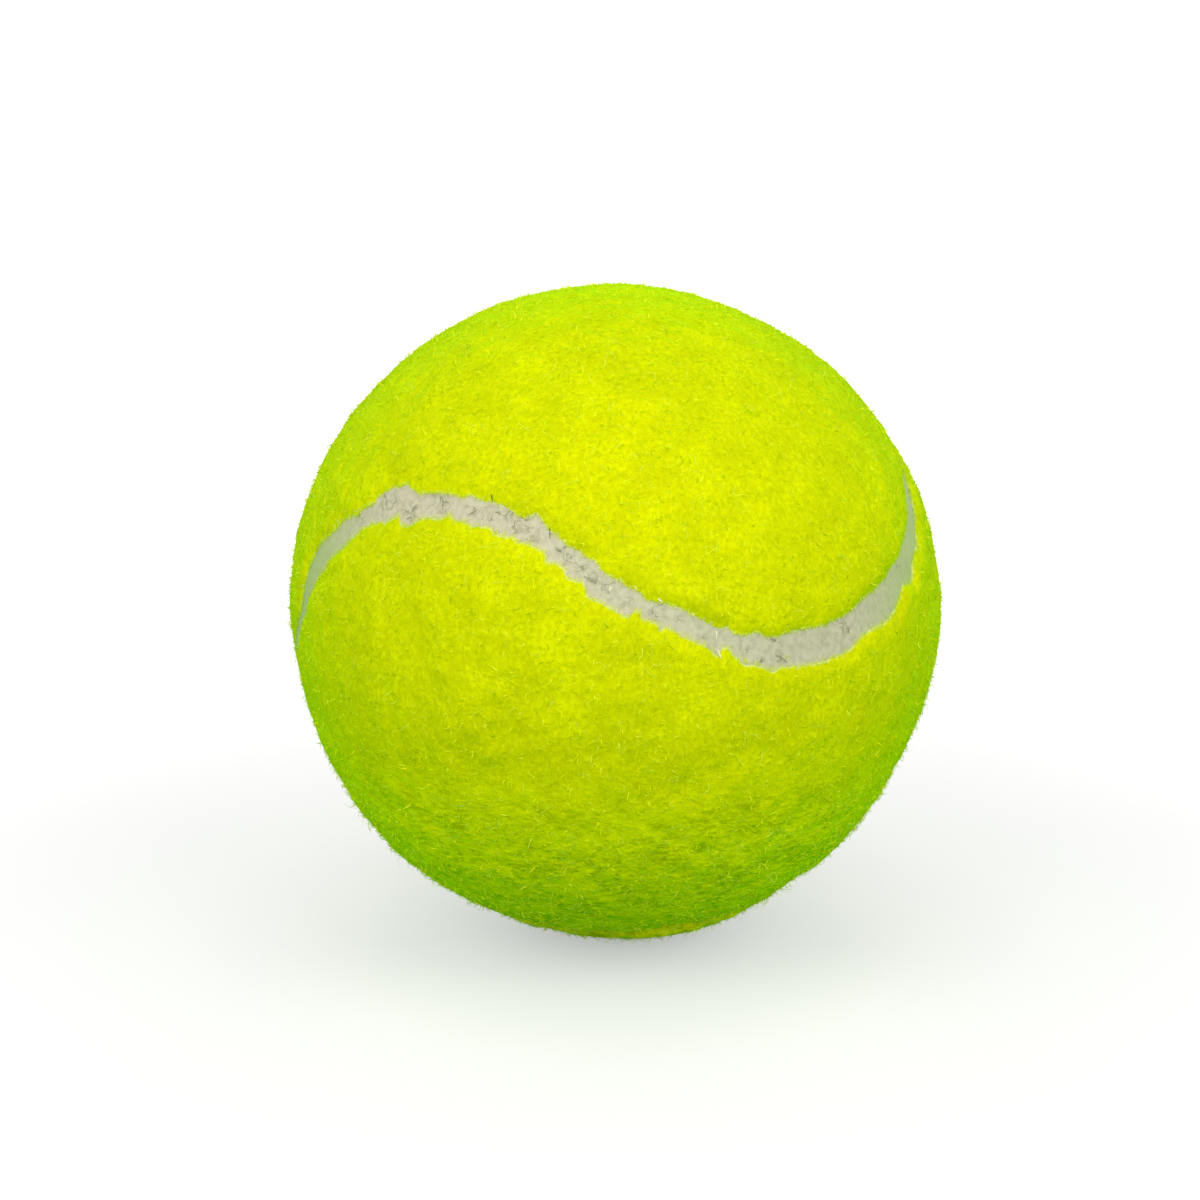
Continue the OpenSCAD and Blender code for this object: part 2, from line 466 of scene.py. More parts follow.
def finer_by_the_edges(points, triangles, band_w):
    """Cuts the triangles within band_w of a cut edge into four, and their neighbours in two to match."""
    angle, _, round_it = seam_place(points)
    edges_at = [sign * half_gap(points, round_it, panel) for panel, sign in EDGE_SIGNS.items()]
    near = np.abs(angle * BALL_R - edges_at).min(axis=0) < band_w
    edges, which = np.unique(np.sort(edge_pairs(triangles), axis=1), axis=0, return_inverse=True)
    cut = near[edges].all(axis=1)
    middle = np.full(len(edges), -1)
    middle[cut] = len(points) + np.arange(cut.sum())
    points = np.concatenate([points, unit(points[edges[cut]].mean(axis=1))])
    middle = middle[which.reshape(3, -1)].T
    cuts = (middle >= 0).sum(axis=1)
    a, b, c = triangles[cuts == 3].T
    ab, bc, ca = middle[cuts == 3].T
    pieces = [(a, ab, ca), (ab, b, bc), (ca, bc, c), (ab, bc, ca)]
    for side in range(3):
        one = (cuts == 1) & (middle[:, side] >= 0)
        a, b, c = np.roll(triangles[one], -side, axis=1).T
        ab = middle[one, side]
        pieces += [(a, ab, c), (ab, b, c)]
    return points, np.concatenate([triangles[cuts == 0], *(np.stack(piece, axis=1) for piece in pieces)])


def make_mesh(name, points_mm, triangles, material, smooth=True):
    mesh = bpy.data.meshes.new(name)
    mesh.vertices.add(len(points_mm))
    mesh.vertices.foreach_set("co", (points_mm * MM).astype(np.float32).ravel())
    mesh.loops.add(triangles.size)
    mesh.loops.foreach_set("vertex_index", triangles.astype(np.int32).ravel())
    mesh.polygons.add(len(triangles))
    mesh.polygons.foreach_set("loop_start", np.arange(0, triangles.size, 3, dtype=np.int32))
    mesh.polygons.foreach_set("use_smooth", np.full(len(triangles), smooth))
    mesh.update(calc_edges=True)
    mesh.validate()
    mesh.materials.append(material)
    piece = bpy.data.objects.new(name, mesh)
    bpy.context.collection.objects.link(piece)
    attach(piece, "root")
    return piece


# Materials


def new_material(name):
    material = bpy.data.materials.new(name)
    material.use_nodes = True
    nodes, links = material.node_tree.nodes, material.node_tree.links
    return material, nodes, links, nodes["Principled BSDF"]


def add(nodes, kind, **values):
    node = nodes.new(kind)
    for key, value in values.items():
        if hasattr(node, key):
            setattr(node, key, value)
        else:
            node.inputs[key.replace("_", " ")].default_value = value
    return node


def noise_node(nodes, links, coordinates, per_metre, detail, stretch=None, roughness=0.5):
    """A noise texture in object space, of per_metre bumps a metre."""
    texture = add(nodes, "ShaderNodeTexNoise", Scale=per_metre, Detail=detail, Roughness=roughness)
    place = coordinates.outputs["Object"]
    if stretch:
        mapping = add(nodes, "ShaderNodeMapping", Scale=stretch)
        links.new(place, mapping.inputs["Vector"])
        place = mapping.outputs["Vector"]
    links.new(place, texture.inputs["Vector"])
    return texture.outputs["Fac"]


def ramp(nodes, links, source, stops):
    node = nodes.new("ShaderNodeValToRGB")
    elements = node.color_ramp.elements
    while len(elements) < len(stops):
        elements.new(0.5)
    for element, (place, colour) in zip(elements, stops):
        element.position = place
        element.color = (*colour, 1)
    links.new(source, node.inputs["Fac"])
    return node.outputs["Color"]


def map_range(nodes, links, source, between, results=(0.0, 1.0), smooth=False):
    """Turns the two values of the source into the two results, and what lies between likewise."""
    node = add(nodes, "ShaderNodeMapRange", interpolation_type="SMOOTHSTEP" if smooth else "LINEAR")
    for socket, value in zip(("From Min", "From Max", "To Min", "To Max"), (*between, *results)):
        node.inputs[socket].default_value = value
    links.new(source, node.inputs["Value"])
    return node.outputs["Result"]


def math_node(nodes, links, operation, *sources):
    node = add(nodes, "ShaderNodeMath", operation=operation)
    for source, socket in zip(sources, node.inputs):
        links.new(source, socket)
    return node.outputs[0]


def mix_node(nodes, links, data_type, **sockets):
    """A blend of A and B. Each of A, B and Factor is linked to, or takes a value."""
    node = add(nodes, "ShaderNodeMix", data_type=data_type)
    for socket, source in sockets.items():
        if isinstance(source, bpy.types.NodeSocket):
            links.new(source, node.inputs[socket])
        else:
            node.inputs[socket].default_value = source
    return node.outputs["Result"]


def add_bump(nodes, links, shader, height, strength, distance):
    """Relief of the given height map. Strength is a socket or a value, distance in millimetres."""
    bump = add(nodes, "ShaderNodeBump", Distance=distance * MM)
    if isinstance(strength, bpy.types.NodeSocket):
        links.new(strength, bump.inputs["Strength"])
    else:
        bump.inputs["Strength"].default_value = strength
    links.new(height, bump.inputs["Height"])
    links.new(bump.outputs["Normal"], shader.inputs["Normal"])


def object_axes(nodes, links, coordinates):
    place = nodes.new("ShaderNodeSeparateXYZ")
    links.new(coordinates.outputs["Object"], place.inputs["Vector"])
    return place.outputs


def in_metres(lengths):
    return tuple(length * MM for length in lengths)


def felt_finish(shader):
    """Dull dyed wool and nylon with a green bloom where it is seen or lit aslant."""
    shader.inputs["Roughness"].default_value = 0.95
    shader.inputs["Specular IOR Level"].default_value = 0.04
    shader.inputs["Sheen Weight"].default_value = 0.70
    shader.inputs["Sheen Roughness"].default_value = 0.6
    shader.inputs["Sheen Tint"].default_value = (0.15, 1.0, 0.0, 1)


def matted_material(name, rim_w, rim_share):
    """The matted body of the pile: mottled from tuft to tuft, with painted light on its lower part, and
    pale with glue at the cut edge, on a share of its length."""
    material, nodes, links, shader = new_material(name)
    coordinates = nodes.new("ShaderNodeTexCoord")
    height = object_axes(nodes, links, coordinates)["Z"]
    low = map_range(nodes, links, height, in_metres(NAP_TURNS_AND_PAINTED_LIGHT_BETWEEN))
    tufts = noise_node(nodes, links, coordinates, 2200, 3, stretch=(1, 1, 0.8), roughness=0.7)
    strands = noise_node(nodes, links, coordinates, 900, 3, stretch=(1, 1, 2.6))
    fine = mix_node(nodes, links, "FLOAT", A=tufts, B=strands, Factor=low)
    coarse = noise_node(nodes, links, coordinates, 260, 2)
    mottle = mix_node(nodes, links, "FLOAT", A=fine, B=coarse, Factor=0.35)
    high_colours = ramp(nodes, links, mottle, (
        (0.36, (0.67, 0.68, 0.0)), (0.50, (0.77, 0.78, 0.0)), (0.64, (0.93, 0.93, 0.0))))
    # Painted light: below these heights the felt is painted lighter on the whole, with deeper painted
    # shade and brighter painted highlight between the strands, though the felt is one colour all over
    lower_painted_light_colours = ramp(nodes, links, mottle, (
        (0.36, (0.53, 0.56, 0.0)), (0.50, (0.89, 0.91, 0.0)), (0.60, (1.00, 1.00, 0.0))))
    colours = mix_node(nodes, links, "RGBA", A=high_colours, B=lower_painted_light_colours, Factor=low)
    from_edge = add(nodes, "ShaderNodeAttribute", attribute_name="from_edge").outputs["Fac"]
    rim = map_range(nodes, links, from_edge, (rim_w, rim_w / 3), smooth=True)
    stretches = noise_node(nodes, links, coordinates, 500, 2)
    glued = map_range(nodes, links, stretches, (0.75 - rim_share / 2, 0.85 - rim_share / 2))
    pale = math_node(nodes, links, "MULTIPLY", rim, glued)
    mixed = mix_node(nodes, links, "RGBA", A=colours, B=(0.90, 0.87, 0.28, 1), Factor=pale)
    links.new(mixed, shader.inputs["Base Color"])
    felt_finish(shader)
    relief = noise_node(nodes, links, coordinates, 2500, 3)
    strength = map_range(nodes, links, low, (0.0, 1.0), results=(0.4, 1.0))
    add_bump(nodes, links, shader, relief, strength, distance=0.15)
    return material


def shaded_material(name, shades):
    """A material for fibres or hairs, each of its own shade."""
    material, nodes, links, shader = new_material(name)
    each = nodes.new("ShaderNodeNewGeometry").outputs["Random Per Island"]
    links.new(ramp(nodes, links, each, shades), shader.inputs["Base Color"])
    return material, shader


def fibre_material(name, shades):
    """Single fibres of the felt."""
    material, shader = shaded_material(name, shades)
    felt_finish(shader)
    return material


felt_matted = {
    "a": matted_material("felt_matted_a", rim_w=0.08, rim_share=0.4),
    "b": matted_material("felt_matted_b", rim_w=0.20, rim_share=0.6),
}
felt_fibre = fibre_material("felt_fibre", (
    (0.00, (0.52, 0.57, 0.0)), (0.10, (0.70, 0.73, 0.0)), (0.52, (0.80, 0.81, 0.0)),
    (0.70, (0.98, 0.99, 0.0)), (1.00, (1.00, 1.00, 0.05))))
felt_loose = fibre_material("felt_loose", ((0.00, (0.68, 0.80, 0.0)), (1.00, (0.94, 1.00, 0.10))))
felt_frayed = fibre_material("felt_frayed", (
    (0.00, (0.78, 0.81, 0.0)), (0.40, (0.91, 0.91, 0.12)), (1.00, (0.97, 0.95, 0.45))))


def rubber_material(name, dark, light, per_metre, roughness):
    """Matt rubber with a fine mottle."""
    material, nodes, links, shader = new_material(name)
    coordinates = nodes.new("ShaderNodeTexCoord")
    mottle = noise_node(nodes, links, coordinates, per_metre, 4)
    colours = ramp(nodes, links, mottle, ((0.35, dark), (0.65, light)))
    links.new(colours, shader.inputs["Base Color"])
    shader.inputs["Roughness"].default_value = roughness
    shader.inputs["Specular IOR Level"].default_value = 0.3
    relief = noise_node(nodes, links, coordinates, per_metre * 4, 3)
    add_bump(nodes, links, shader, relief, strength=0.2, distance=0.1)
    return material


def seam_material():
    """Pale seam rubber with a faint mottle, with painted green bounce light and shade from the felt
    towards both sides of the ball's upper half."""
    material, nodes, links, shader = new_material("seam_rubber")
    coordinates = nodes.new("ShaderNodeTexCoord")
    mottle = noise_node(nodes, links, coordinates, 1800, 4)
    colours = ramp(nodes, links, mottle, (
        (0.32, (0.57, 0.525, 0.37)), (0.50, (0.66, 0.605, 0.43)), (0.68, (0.73, 0.67, 0.49))))
    axes = object_axes(nodes, links, coordinates)
    # Painted green bounce light and shade from the felt: the rubber turns darker and greener towards both
    # sides of the upper half
    sideways = math_node(nodes, links, "ABSOLUTE", axes["X"])
    outwards = map_range(nodes, links, sideways, in_metres(SEAM_PAINTED_BOUNCE_OUTWARDS), smooth=True)
    upwards = map_range(nodes, links, axes["Z"], in_metres(SEAM_PAINTED_BOUNCE_UPWARDS), smooth=True)
    painted_bounce_light = math_node(nodes, links, "MULTIPLY", outwards, upwards)
    mixed = mix_node(nodes, links, "RGBA", A=colours, B=(0.46, 0.63, 0.20, 1), Factor=painted_bounce_light)
    links.new(mixed, shader.inputs["Base Color"])
    shader.inputs["Roughness"].default_value = 0.75
    shader.inputs["Specular IOR Level"].default_value = 0.25
    relief = noise_node(nodes, links, coordinates, 2200, 4)
    add_bump(nodes, links, shader, relief, strength=0.3, distance=0.08)
    return material


def cotton_material():
    """Plain weave: two sets of threads crossing."""
    material, nodes, links, shader = new_material("cotton_backing")
    coordinates = nodes.new("ShaderNodeTexCoord")
    threads = []
    for direction in ("X", "Z"):
        wave = add(nodes, "ShaderNodeTexWave", wave_type="BANDS", bands_direction=direction, Scale=420.0)
        links.new(coordinates.outputs["Object"], wave.inputs["Vector"])
        threads.append(wave.outputs["Fac"])
    weave = math_node(nodes, links, "MAXIMUM", *threads)
    colours = ramp(nodes, links, weave, ((0.0, (0.45, 0.44, 0.36)), (1.0, (0.74, 0.73, 0.64))))
    links.new(colours, shader.inputs["Base Color"])
    shader.inputs["Roughness"].default_value = 0.9
    add_bump(nodes, links, shader, weave, strength=0.5, distance=0.1)
    return material


def thread_material(name, dark, light):
    """Hairs and lint of slightly differing shades."""
    material, shader = shaded_material(name, ((0.0, dark), (1.0, light)))
    shader.inputs["Roughness"].default_value = 0.8
    return material


core_rubber = rubber_material("core_rubber", (0.018, 0.018, 0.02), (0.035, 0.034, 0.036), 400, 0.65)
rubber_cement = rubber_material("rubber_cement", (0.28, 0.22, 0.12), (0.42, 0.34, 0.20), 300, 0.45)
cotton_backing = cotton_material()
seam_rubber = seam_material()
lint_dark = thread_material("lint_dark", (0.10, 0.11, 0.04), (0.36, 0.36, 0.18))
hair_dark = thread_material("hair_dark", (0.04, 0.05, 0.01), (0.09, 0.09, 0.03))
lint_pale = thread_material("lint_pale", (0.95, 0.93, 0.55), (0.98, 0.98, 0.80))

node_materials = {
    "core_half_upper": core_rubber,
    "core_half_lower": core_rubber,
    "core_joint_cement": rubber_cement,
    "cover_cement": rubber_cement,
    "panel_a_backing": cotton_backing,
    "panel_b_backing": cotton_backing,
}
for node, material in node_materials.items():
    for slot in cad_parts[node].material_slots:
        slot.material = material


# The felt panels


def felt_panel(panel, points, triangles):
    """One panel's pile as a closed mesh: its outer face follows the cut edge, rolls down to the seam
    and closes over the backing."""
    inside, way = inside_panel(points, panel)
    pairs = edge_pairs(triangles)
    crossing = pairs[inside[pairs[:, 0]] * inside[pairs[:, 1]] < 0]
    nearer = np.abs(inside[crossing[:, 0]]) < np.abs(inside[crossing[:, 1]])
    on_edge = np.unique(np.where(nearer, crossing[:, 0], crossing[:, 1]))
    points = points.copy()
    for _ in range(EDGE_MOVES):
        points[on_edge] = unit(points[on_edge] - way[on_edge] * inside[on_edge, None] / BALL_R)
        inside[on_edge], way[on_edge] = inside_panel(points[on_edge], panel)
    inside[on_edge] = 0
    kept = triangles[(inside[triangles] >= 0).all(1) & (inside[triangles] > 0).any(1)]
    used, kept = np.unique(kept, return_inverse=True)
    kept = kept.reshape(-1, 3)
    points, inside = points[used], inside[used]
    count = len(points)

    pairs = edge_pairs(kept)
    known = set(map(tuple, pairs.tolist()))
    rim = np.array([(a, b) for a, b in pairs.tolist() if (b, a) not in known])
    outer = points * felt_radius(points, inside)[:, None]
    inner = points * BACKING_R
    walls = np.concatenate([
        np.c_[rim[:, 1], rim[:, 0], rim[:, 0] + count],
        np.c_[rim[:, 1], rim[:, 0] + count, rim[:, 1] + count],
    ])
    faces = np.concatenate([kept, kept[:, ::-1] + count, walls])
    piece = make_mesh(f"felt_panel_{panel}", np.concatenate([outer, inner]), faces, felt_matted[panel])
    from_edge = piece.data.attributes.new("from_edge", "FLOAT", "POINT")
    from_edge.data.foreach_set("value", np.concatenate([inside, inside]).astype(np.float32))
    return piece


# The fibres


def curls(roots, normals, along, lengths, rise, bend, drop, segments=3):
    """Points along fibres that rise from their roots, arch over and curl sideways."""
    across = np.cross(normals, along)
    line = [roots]
    for k in range(segments):
        share = (k + 0.5) / segments
        sideways = bend * (share - LAID_AT)
        lift = rise - drop * share
        step = np.cos(lift)[:, None] * (
            np.cos(sideways)[:, None] * along + np.sin(sideways)[:, None] * across
        ) + np.sin(lift)[:, None] * normals
        line.append(line[-1] + step * (lengths / segments)[:, None])
    return np.stack(line, axis=1)


def draw_kind(rng, kind, roots, normals, along, segments=3):
    """Curls of one kind, as the lines along them and their half widths."""
    count = len(roots)
    line = curls(
        roots, normals, along, rng.uniform(*kind["length"], count),
        rise=rng.normal(*kind["rise"], count), bend=rng.normal(0, kind["bend"], count),
        drop=rng.uniform(*kind["drop"], count), segments=segments,
    )
    return line, kind["half_width"] * rng.uniform(*kind["shares"], count)


def tubes(line, half_widths, roll=0.0):
    """Closed three-sided strands along the lines, each rolled about its line, tapering to a point."""
    count, places, _ = line.shape
    roll = np.broadcast_to(roll, count)
    heading = unit(np.gradient(line, axis=1))
    outward = unit(line[:, :1])
    first = unit(np.cross(heading, outward) + TINY)
    second = np.cross(heading, first)
    taper = np.linspace(1.0, FIBRE_END_TAPER, places - 1)
    rings = []
    for k in range(places - 1):
        for x, y in FIBRE_SECTION:
            turned_x = x * np.cos(roll) - y * np.sin(roll)
            turned_y = x * np.sin(roll) + y * np.cos(roll)
            offset = turned_x[:, None] * first[:, k] + turned_y[:, None] * second[:, k]
            rings.append(line[:, k] + offset * (half_widths * taper[k])[:, None])
    rings.append(line[:, -1])
    points = np.stack(rings, axis=1)
    faces = [(0, 2, 1)]
    for k in range(places - 2):
        for corner in range(3):
            a, b = 3 * k + corner, 3 * k + (corner + 1) % 3
            faces += [(a, b, b + 3), (a, b + 3, a + 3)]
    last, tip = 3 * (places - 2), 3 * (places - 1)
    faces += [(last + corner, last + (corner + 1) % 3, tip) for corner in range(3)]
    faces = np.array(faces)
    starts = np.arange(count) * points.shape[1]
    return points.reshape(-1, 3), (faces[None] + starts[:, None, None]).reshape(-1, 3)


def felt_fringe(panel):
    """Short ends of fibre that fray out over the rubber from the panel's cut edge."""
    rng = np.random.default_rng(FRINGE_SEED + (panel == "b"))
    line = seam_line(FRINGE_FIBRES // len(LOBES))
    inside, way = inside_panel(line, panel)
    depth = rng.uniform(*FRINGE_DEPTH, len(line))
    points = unit(line + way * np.tan((depth - inside) / BALL_R)[:, None])
    inside, way = inside_panel(points, panel)
    sideways = rng.normal(0, FRINGE_SPREAD, len(points))[:, None]
    along = -np.cos(sideways) * way + np.sin(sideways) * np.cross(points, way)
    roots = points * (felt_radius(points, np.maximum(inside, 0)) - FRINGE_ROOT_DEPTH)[:, None]
    kind = {**FRAYED, "length": FRAYED_LENGTHS[panel]}
    strands = tubes(*draw_kind(rng, kind, roots, points, along))
    return make_mesh(f"felt_fringe_{panel}", *strands, felt_frayed, smooth=False)


def nap(points, rng):
    """A way for each fibre to lie: mostly up or down the ball, and round it on its lower part."""
    upwards = unit(np.array([0, 0, 1]) - points * points[:, 2:] + TINY)
    round_it = np.cross(points, upwards)
    first, last = NAP_TURNS_AND_PAINTED_LIGHT_BETWEEN
    low = np.clip((points[:, 2] * BALL_R - first) / (last - first), 0, 1) > rng.random(len(points))
    spread = rng.normal(0, np.where(low, NAP_SPREAD_ROUND, NAP_SPREAD_UP))
    angle = np.where(low, math.pi / 2, 0) + spread + math.pi * rng.integers(0, 2, len(points))
    return np.cos(angle)[:, None] * upwards + np.sin(angle)[:, None] * round_it


def felt_fibres(panel):
    """The panel's surface fibres, most of them matted down and the rest curled."""
    rng = np.random.default_rng(FIBRE_SEED + (panel == "b"))
    points = unit(rng.normal(size=(FIBRES * FIBRE_TRIES, 3)))
    inside, way = inside_panel(points, panel)
    chosen = np.flatnonzero(inside > FIBRE_INSET)[:FIBRES]
    points, inside, way = points[chosen], inside[chosen], way[chosen]
    count = len(points)
    roots = points * (felt_radius(points, inside) - FIBRE_ROOT_DEPTH)[:, None]
    curled = rng.random(count) < CURLED_SHARE

    def pick(draw):
        return np.where(curled, draw(CURLED), draw(MATTED))

    lengths = pick(lambda kind: rng.uniform(*kind["length"], count))
    lengths *= np.clip(EDGE_LENGTH_SHARE + inside / FULL_LENGTH_W, 0, 1)
    along = nap(points, rng)
    turned_in = (inside < TURNED_IN_W) & (rng.random(count) < TURNED_IN_SHARE)
    outwards = (along * way).sum(axis=1) < 0
    along[turned_in & outwards] *= -1
    line = curls(
        roots, points, along, lengths,
        rise=pick(lambda kind: rng.normal(*kind["rise"], count)),
        bend=pick(lambda kind: rng.normal(0, kind["bend"], count)),
        drop=rng.uniform(*FIBRE_DROP, count),
    )
    half_widths = pick(lambda kind: kind["half_width"] * rng.uniform(*FIBRE_SHARES, count))
    roll = rng.normal(0, FIBRE_ROLL_SPREAD, count)
    pieces = []
    for k, part in enumerate(np.array_split(np.arange(count), FIBRE_PIECES)):
        strands = tubes(line[part], half_widths[part], roll[part])
        name = f"felt_fibres_{panel}_{k + 1}"
        pieces.append(make_mesh(name, *strands, felt_fibre, smooth=False))
    return pieces


def loose_curls(panel):
    """Long fibres that have come loose and curl over the panel."""
    rng = np.random.default_rng(LOOSE_SEED + (panel == "b"))
    points = unit(rng.normal(size=(LOOSE_CURLS * LOOSE_TRIES, 3)))
    inside, _ = inside_panel(points, panel)
    wanted = np.where(points[:, 2] * BALL_R < LOOSE_BELOW, 1.0, LOOSE_SHARE_ABOVE)
    chosen = np.flatnonzero((inside > LOOSE_INSET) & (rng.random(len(points)) < wanted))[:LOOSE_CURLS]
    points, inside = points[chosen], inside[chosen]
    roots = points * (felt_radius(points, inside) - LOOSE_ROOT_DEPTH)[:, None]
    strands = tubes(*draw_kind(rng, LOOSE, roots, points, nap(points, rng), segments=6))
    return make_mesh(f"felt_loose_{panel}", *strands, felt_loose, smooth=False)


sphere_points, sphere_triangles = geodesic_sphere(SPHERE_STEPS)
for band_w in FINE_BANDS_W:
    sphere_points, sphere_triangles = finer_by_the_edges(sphere_points, sphere_triangles, band_w)
for panel in "ab":
    felt = felt_panel(panel, sphere_points, sphere_triangles)
    fibres = [*felt_fibres(panel), felt_fringe(panel), loose_curls(panel)]
    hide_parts(f"panel_{panel}_pile")


# The seam rubber


def rubber_radius(points):
    """Radius of the seam rubber's surface, before its middle is sunk."""
    return SEAM_R + layered(points * BALL_R, SEAM_WAVES, SEAM_WAVES_SEED)


def edge_reach(line, way, round_it, panel):
    """Distance from the seam's middle line to the panel's cut edge, measured where the edge lies."""
    reach = np.full(len(line), GAP_HALF_W)
    for _ in range(EDGE_MEASURES):
        edge = unit(line + EDGE_SIGNS[panel] * way * np.tan(reach / BALL_R)[:, None])
        reach = half_gap(edge, round_it, panel)
    return reach[:, None]


def make_seam():
    """The rubber band between the panels: as wide as the gap between their cut edges, slightly sunk
    in its middle, tucked in under both edges, and down to the core between the two backings."""
    line = seam_line(SEAM_STEPS_PER_ARC)
    _, way, round_it = seam_place(line)
    reach_a, reach_b = [edge_reach(line, way, round_it, panel) + SEAM_TUCK for panel in "ab"]
    shares = np.linspace(0, 1, SEAM_STEPS_ACROSS)
    out = shares * (reach_a + reach_b) - reach_b
    top = unit(line[:, None] + way[:, None] * np.tan(out / BALL_R)[:, :, None])
    sunk = SEAM_SINK * (1 - np.abs(2 * shares - 1) ** SEAM_SINK_POWER)
    upper = top * (rubber_radius(top.reshape(-1, 3)).reshape(out.shape) - sunk)[:, :, None]
    foot_r = np.where(np.abs(out) < SEAM_FOOT_HALF_W, GLUED_R, BACKING_R) + SEAM_CLEARANCE
    lower = top * foot_r[:, :, None]
    rings = np.concatenate([upper, lower[:, ::-1]], axis=1)
    count, per_ring, _ = rings.shape
    i, j = np.meshgrid(np.arange(count), np.arange(per_ring), indexing="ij")
    a = i * per_ring + j
    b = i * per_ring + (j + 1) % per_ring
    c = (i + 1) % count * per_ring + (j + 1) % per_ring
    d = (i + 1) % count * per_ring + j
    faces = np.concatenate([np.stack(corners, -1).reshape(-1, 3) for corners in ((a, b, c), (a, c, d))])
    piece = make_mesh("seam_band", rings.reshape(-1, 3), faces, seam_rubber)
    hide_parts("seam_rubber")


def top_radius(points):
    """Radius of the ball's surface, on the felt and on the rubber."""
    radii = rubber_radius(points)
    for panel in "ab":
        inside, _ = inside_panel(points, panel)
        radii = np.where(inside > 0, felt_radius(points, inside), radii)
    return radii


def tangle_places(rng, tangles):
    """Places of the hairs in the tangles that the photo shows."""
    places = []
    for x, y, spread, hairs in tangles:
        for _ in range(hairs):
            dx, dy = rng.normal(0, spread / 2, 2)
            places.append(place_of_pixel(x + dx, y + dy, SEAM_R))
    return np.array(places)


def stray_places(rng):
    """Places of hairs in tangles along the stretches of the seam that the photo doesn't show."""
    line = seam_line(SEAM_STEPS_PER_ARC)
    along = place_along_photo(seam_place(line)[2])
    first, last = KNOWN_EDGES["a"][0][[0, -1]]
    unseen = np.flatnonzero((along < first) | (along > last))
    tangles = rng.choice(unseen, STRAY_TANGLES)
    middles = np.repeat(tangles, rng.integers(1, STRAY_HAIRS + 1, STRAY_TANGLES))
    return unit(line[middles] + rng.normal(0, STRAY_SPREAD / BALL_R, (len(middles), 3)))


def curly_hairs(rng, kind, places):
    """Short curly hairs lying at the places, as the lines along them and their half widths."""
    along = unit(np.cross(places, unit(rng.normal(size=places.shape))))
    roots = places * (top_radius(places) - SEAM_SINK / 2 + kind["half_width"])[:, None]
    return draw_kind(rng, kind, roots, places, along, segments=5)


def straight_hairs(ends_px, half_w):
    """The hairs that stand out, as the lines along them and their half widths."""
    line = np.array([
        [place_of_pixel(x0 + (x1 - x0) * t, y0 + (y1 - y0) * t, SEAM_R) for t in np.linspace(0, 1, 4)]
        for x0, y0, x1, y1 in ends_px
    ])
    radii = top_radius(line.reshape(-1, 3)).reshape(line.shape[:2])
    return line * (radii + half_w)[:, :, None], np.full(len(line), half_w)


def make_lint():
    """Lint and tufts caught on the rubber, and the single hairs that stand out."""
    rng = np.random.default_rng(LINT_SEED)
    lint = np.concatenate([tangle_places(rng, LINT_PX), stray_places(rng)])
    tufts = tangle_places(rng, TUFTS_PX)
    pale_tufts = tangle_places(rng, PALE_TUFTS_PX)
    for name, (line, half_widths), material in (
        ("seam_lint", curly_hairs(rng, LINT, lint), lint_dark),
        ("seam_tufts", curly_hairs(rng, TUFT, tufts), felt_frayed),
        ("seam_pale_tufts", curly_hairs(rng, TUFT, pale_tufts), lint_pale),
        ("seam_hairs", straight_hairs(DARK_HAIRS_PX, DARK_HAIR_HALF_W), hair_dark),
        ("seam_threads", straight_hairs(PALE_HAIRS_PX, PALE_HAIR_HALF_W), lint_pale),
    ):
        piece = make_mesh(name, *tubes(line, half_widths), material, smooth=False)


make_seam()
make_lint()


# Camera, light and floor


def build_camera():
    data = bpy.data.cameras.new("camera")
    data.sensor_width = SENSOR_MM
    data.lens = FOCAL_PX / FRAME_PX * SENSOR_MM
    data.shift_x = (FRAME_PX / 2 - BALL_CENTRE_PX[0]) / FRAME_PX
    data.shift_y = (BALL_CENTRE_PX[1] - FRAME_PX / 2) / FRAME_PX
    data.clip_start = 0.01
    data.clip_end = 100
    camera = bpy.data.objects.new("camera", data)
    camera.location = BACK * CAMERA_DISTANCE * MM
    camera.rotation_euler = (math.pi / 2 - CAMERA_ELEVATION, 0, 0)
    bpy.context.collection.objects.link(camera)
    bpy.context.scene.camera = camera


def softbox(name, azimuth, elevation, size, level):
    """A square lamp aimed at the ball. At level 1 it alone shows a facing white surface as white."""
    data = bpy.data.lights.new(name, "AREA")
    data.shape = "SQUARE"
    data.size = size
    data.energy = level * (math.pi * LAMP_DISTANCE) ** 2
    lamp = bpy.data.objects.new(name, data)
    azimuth, elevation = math.radians(azimuth), math.radians(elevation)
    lamp.location = (
        LAMP_DISTANCE * math.cos(elevation) * math.sin(azimuth),
        -LAMP_DISTANCE * math.cos(elevation) * math.cos(azimuth),
        LAMP_DISTANCE * math.sin(elevation),
    )
    lamp.rotation_euler = (math.pi / 2 - elevation, 0, azimuth)
    bpy.context.collection.objects.link(lamp)


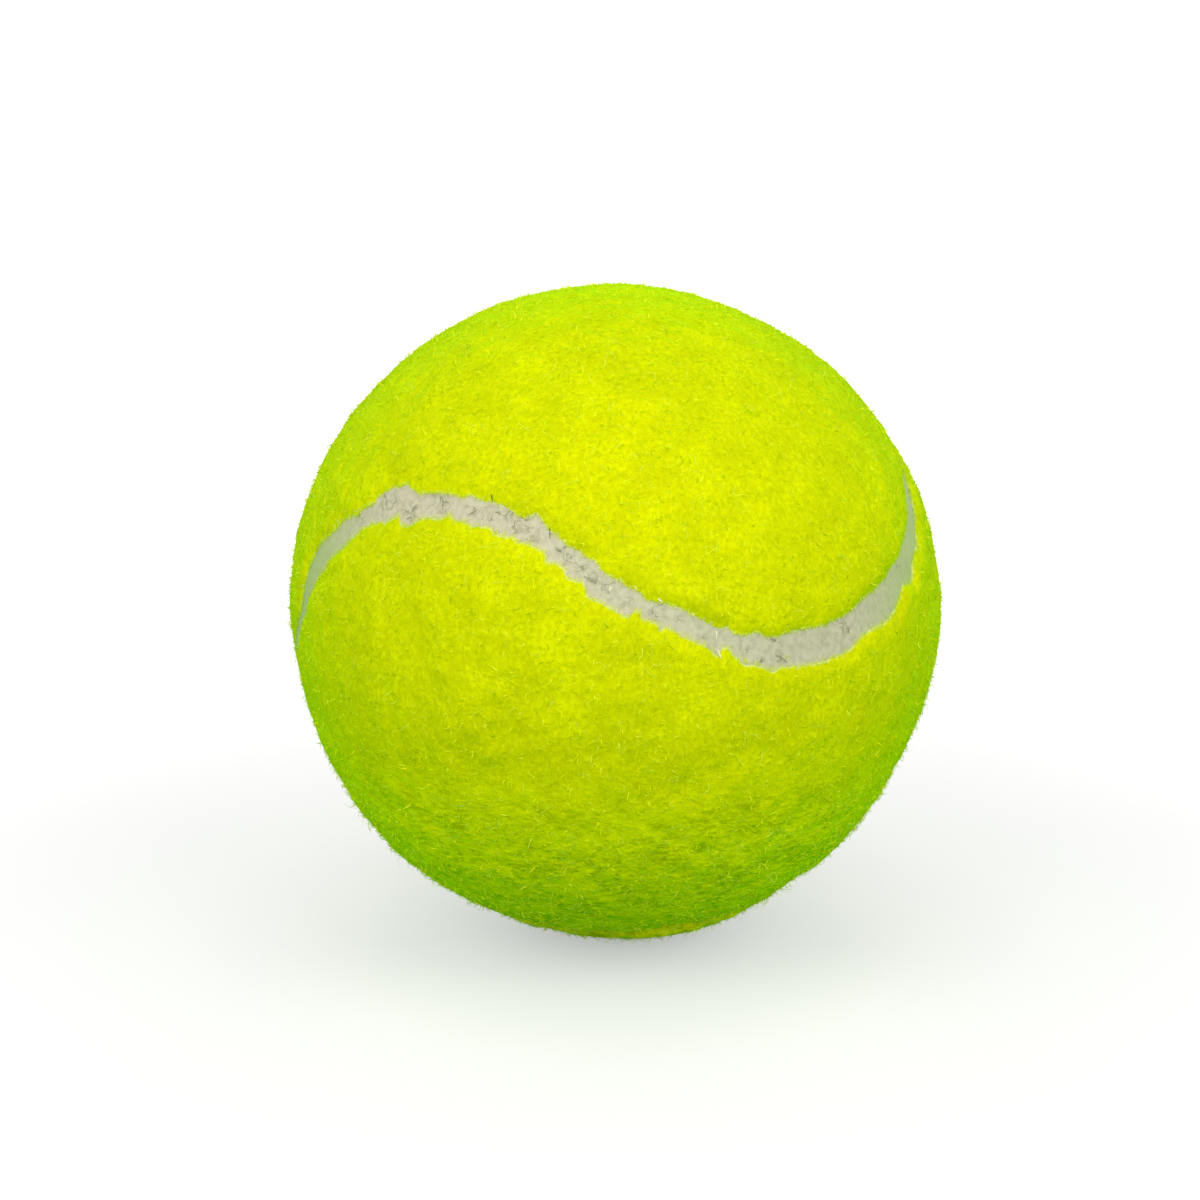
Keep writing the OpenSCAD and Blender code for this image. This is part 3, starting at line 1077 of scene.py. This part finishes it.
def seen_directly(nodes, links):
    """1 for rays from the camera, mirrors and clear parts, and 0 for light that falls on things."""
    rays = nodes.new("ShaderNodeLightPath").outputs
    either = math_node(nodes, links, "MAXIMUM", rays["Is Camera Ray"], rays["Is Glossy Ray"])
    return math_node(nodes, links, "MAXIMUM", either, rays["Is Transmission Ray"])


def build_world():
    world = bpy.data.worlds.new("world")
    bpy.context.scene.world = world
    world.use_nodes = True
    nodes, links = world.node_tree.nodes, world.node_tree.links
    background = nodes["Background"]
    seen = seen_directly(nodes, links)
    strength = map_range(nodes, links, seen, (0.0, 1.0), results=(AMBIENT_LEVEL, 1.0))
    links.new(strength, background.inputs["Strength"])
    background.inputs["Color"].default_value = (1, 1, 1, 1)


def build_floor():
    """A pale floor just under the ball's lowest fibre."""
    bpy.ops.mesh.primitive_plane_add(size=FLOOR_SIZE, location=(0, 0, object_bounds()[0][2]))
    floor = bpy.context.object
    floor.name = "floor"
    material, nodes, links, shader = new_material("floor")
    nodes.remove(shader)
    seen = seen_directly(nodes, links)
    shown = add(nodes, "ShaderNodeBsdfDiffuse", Color=(0.66, 0.66, 0.66, 1))
    coordinates = nodes.new("ShaderNodeTexCoord")
    length = add(nodes, "ShaderNodeVectorMath", operation="LENGTH")
    links.new(coordinates.outputs["Object"], length.inputs[0])
    strength = map_range(nodes, links, length.outputs["Value"], FLOOR_GLOW_BETWEEN,
                         results=(FLOOR_GLOW_LOWEST, 1.0), smooth=True)
    glow = nodes.new("ShaderNodeEmission")
    links.new(strength, glow.inputs["Strength"])
    lifted = nodes.new("ShaderNodeAddShader")
    links.new(shown.outputs[0], lifted.inputs[0])
    links.new(glow.outputs[0], lifted.inputs[1])
    lighting = add(nodes, "ShaderNodeBsdfDiffuse", Color=(0.0, 0.19, 0.0, 1))
    mix = nodes.new("ShaderNodeMixShader")
    links.new(seen, mix.inputs["Fac"])
    links.new(lighting.outputs[0], mix.inputs[1])
    links.new(lifted.outputs[0], mix.inputs[2])
    links.new(mix.outputs[0], nodes["Material Output"].inputs["Surface"])
    floor.data.materials.append(material)


build_camera()
for name, setting in SOFTBOXES.items():
    softbox(name, *setting)
build_world()
build_floor()
bpy.context.scene.view_settings.view_transform = "Standard"
